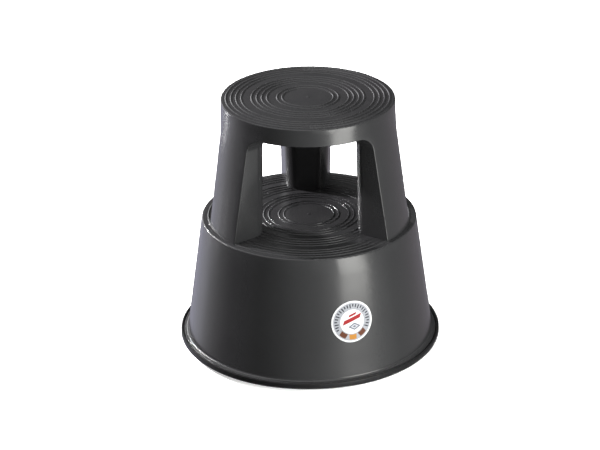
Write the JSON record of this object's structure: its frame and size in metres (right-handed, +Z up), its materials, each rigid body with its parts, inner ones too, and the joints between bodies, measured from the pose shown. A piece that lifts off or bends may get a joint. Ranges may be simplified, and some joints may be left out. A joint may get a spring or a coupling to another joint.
{
  "type": "rolling step stool",
  "caption": "Round two-tread rolling step stool: a conical drum with a rubber foot ring, a ridged top step on hollow legs, and sprung castors that sink under load.",
  "frame": {"origin": "on the floor under the middle of the stool, castor wheels touching the floor", "axes": "+Z up, +X to the right seen from the front, the front (two legs, with the label to its right) faces -Y"},
  "size_m": [0.4399, 0.44, 0.433],
  "materials": {
    "charcoal_plastic": "satin, moulded",
    "black_rubber": "matte",
    "zinc_steel": "zinc plated",
    "castor_plastic": "satin",
    "wheel_plastic": "matte",
    "label_film": "semi-gloss film"
  },
  "bodies": {
    "stool": {"top_step": "charcoal_plastic", "lower_drum": "charcoal_plastic", "ground_ring": "black_rubber", "leg_screws": "zinc_steel", "leg_washers": "zinc_steel", "castor_screws": "zinc_steel", "round_label": "label_film", "front_castor_housing": "castor_plastic", "front_castor_spring": "zinc_steel", "right_castor_housing": "castor_plastic", "right_castor_spring": "zinc_steel", "left_castor_housing": "castor_plastic", "left_castor_spring": "zinc_steel"},
    "front_carrier": {"front_castor_stem": "zinc_steel", "front_spring_washer": "zinc_steel", "front_stem_clip": "zinc_steel"},
    "front_swivel": {"front_castor_hood": "castor_plastic"},
    "front_wheels": {"front_castor_axle": "zinc_steel", "front_castor_wheel_a": "wheel_plastic", "front_castor_wheel_b": "wheel_plastic"},
    "right_carrier": {"right_castor_stem": "zinc_steel", "right_spring_washer": "zinc_steel", "right_stem_clip": "zinc_steel"},
    "right_swivel": {"right_castor_hood": "castor_plastic"},
    "right_wheels": {"right_castor_axle": "zinc_steel", "right_castor_wheel_a": "wheel_plastic", "right_castor_wheel_b": "wheel_plastic"},
    "left_carrier": {"left_castor_stem": "zinc_steel", "left_spring_washer": "zinc_steel", "left_stem_clip": "zinc_steel"},
    "left_swivel": {"left_castor_hood": "castor_plastic"},
    "left_wheels": {"left_castor_axle": "zinc_steel", "left_castor_wheel_a": "wheel_plastic", "left_castor_wheel_b": "wheel_plastic"}
  },
  "joints": [
    {"name": "front_sink", "type": "slide", "parent": "stool", "child": "front_carrier", "axis": [0, 0, 1], "range_m": [0, 0.0075], "stiffness_N_per_m": 4000, "springref_m": -0.0075, "deforming": ["front_castor_spring"]},
    {"name": "front_turn", "type": "hinge", "parent": "front_carrier", "child": "front_swivel", "pos_m": [0, -0.152, 0.04], "axis": [0, 0, 1], "continuous": true},
    {"name": "front_roll", "type": "hinge", "parent": "front_swivel", "child": "front_wheels", "pos_m": [0, -0.137, 0.02], "axis": [1, 0, 0], "continuous": true},
    {"name": "right_sink", "type": "slide", "parent": "stool", "child": "right_carrier", "axis": [0, 0, 1], "range_m": [0, 0.0075], "stiffness_N_per_m": 4000, "springref_m": -0.0075, "deforming": ["right_castor_spring"]},
    {"name": "right_turn", "type": "hinge", "parent": "right_carrier", "child": "right_swivel", "pos_m": [0.13164, 0.076, 0.04], "axis": [0, 0, 1], "continuous": true},
    {"name": "right_roll", "type": "hinge", "parent": "right_swivel", "child": "right_wheels", "pos_m": [0.13164, 0.091, 0.02], "axis": [1, 0, 0], "continuous": true},
    {"name": "left_sink", "type": "slide", "parent": "stool", "child": "left_carrier", "axis": [0, 0, 1], "range_m": [0, 0.0075], "stiffness_N_per_m": 4000, "springref_m": -0.0075, "deforming": ["left_castor_spring"]},
    {"name": "left_turn", "type": "hinge", "parent": "left_carrier", "child": "left_swivel", "pos_m": [-0.13164, 0.076, 0.04], "axis": [0, 0, 1], "continuous": true},
    {"name": "left_roll", "type": "hinge", "parent": "left_swivel", "child": "left_wheels", "pos_m": [-0.13164, 0.091, 0.02], "axis": [1, 0, 0], "continuous": true}
  ]
}
